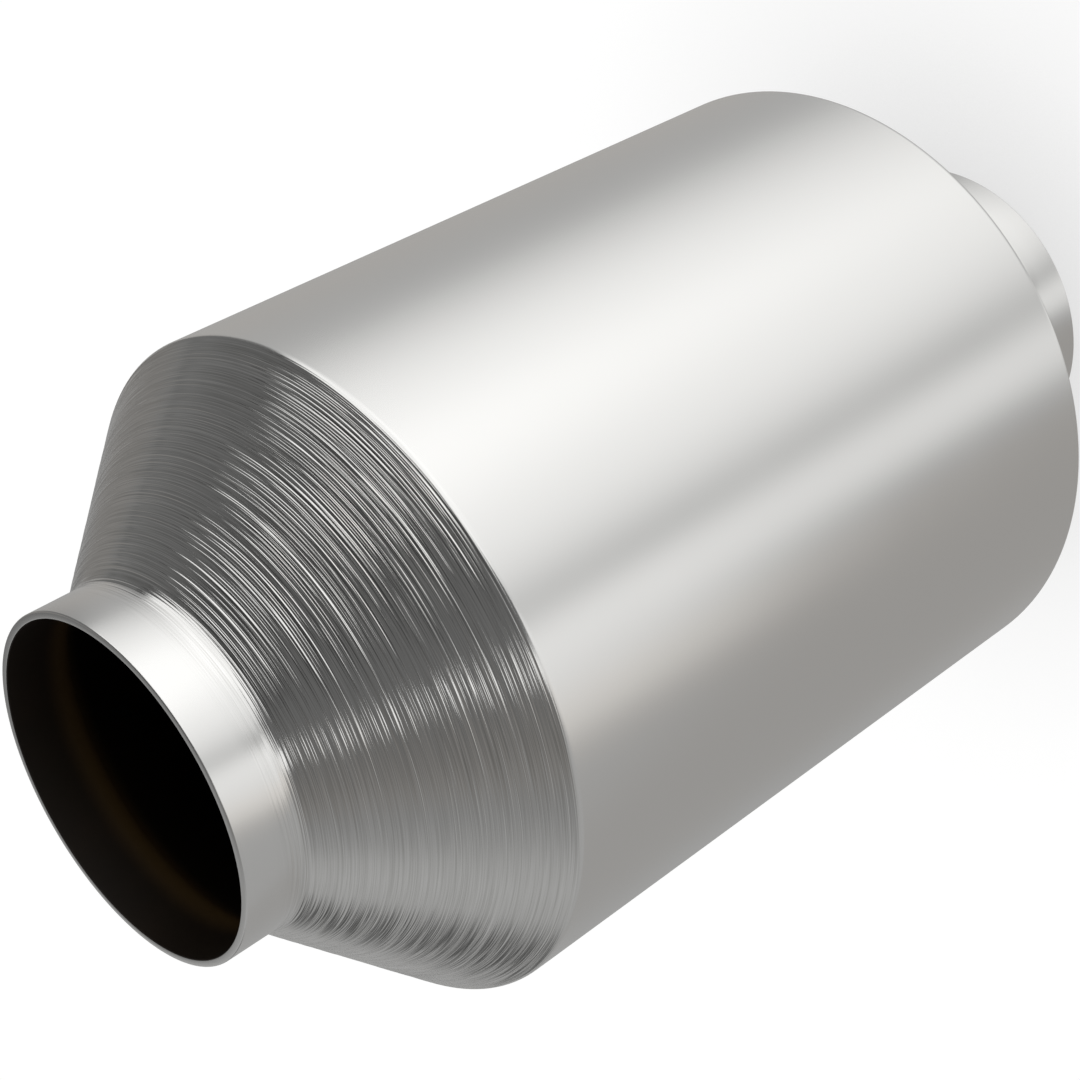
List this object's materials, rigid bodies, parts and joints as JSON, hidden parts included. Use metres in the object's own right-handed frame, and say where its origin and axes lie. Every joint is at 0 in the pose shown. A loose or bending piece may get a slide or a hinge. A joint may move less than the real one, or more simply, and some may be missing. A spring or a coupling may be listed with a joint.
{
  "type": "catalytic converter",
  "caption": "Round catalytic converter: spun steel can with a cone and short neck at each end, holding a square-cell ceramic brick in a fibre mat with wire edge seals.",
  "frame": {"origin": "centre of the outlet mouth, on the rim it stands on", "axes": "+Z along the gas path's axis, from the outlet mouth up to the inlet mouth; round about Z, so X and Y are free"},
  "size_m": [0.13, 0.13, 0.2318],
  "materials": {
    "can_steel": "satin, spun at the cones",
    "brick_ceramic": "matt extruded ceramic",
    "mat_fibre": "matt pressed fibre",
    "seal_wire": "knitted wire, pressed"
  },
  "bodies": {
    "root": {"spun_can": "can_steel", "ceramic_brick": "brick_ceramic", "mounting_mat": "mat_fibre", "inlet_wire_seal": "seal_wire", "outlet_wire_seal": "seal_wire"}
  },
  "joints": []
}
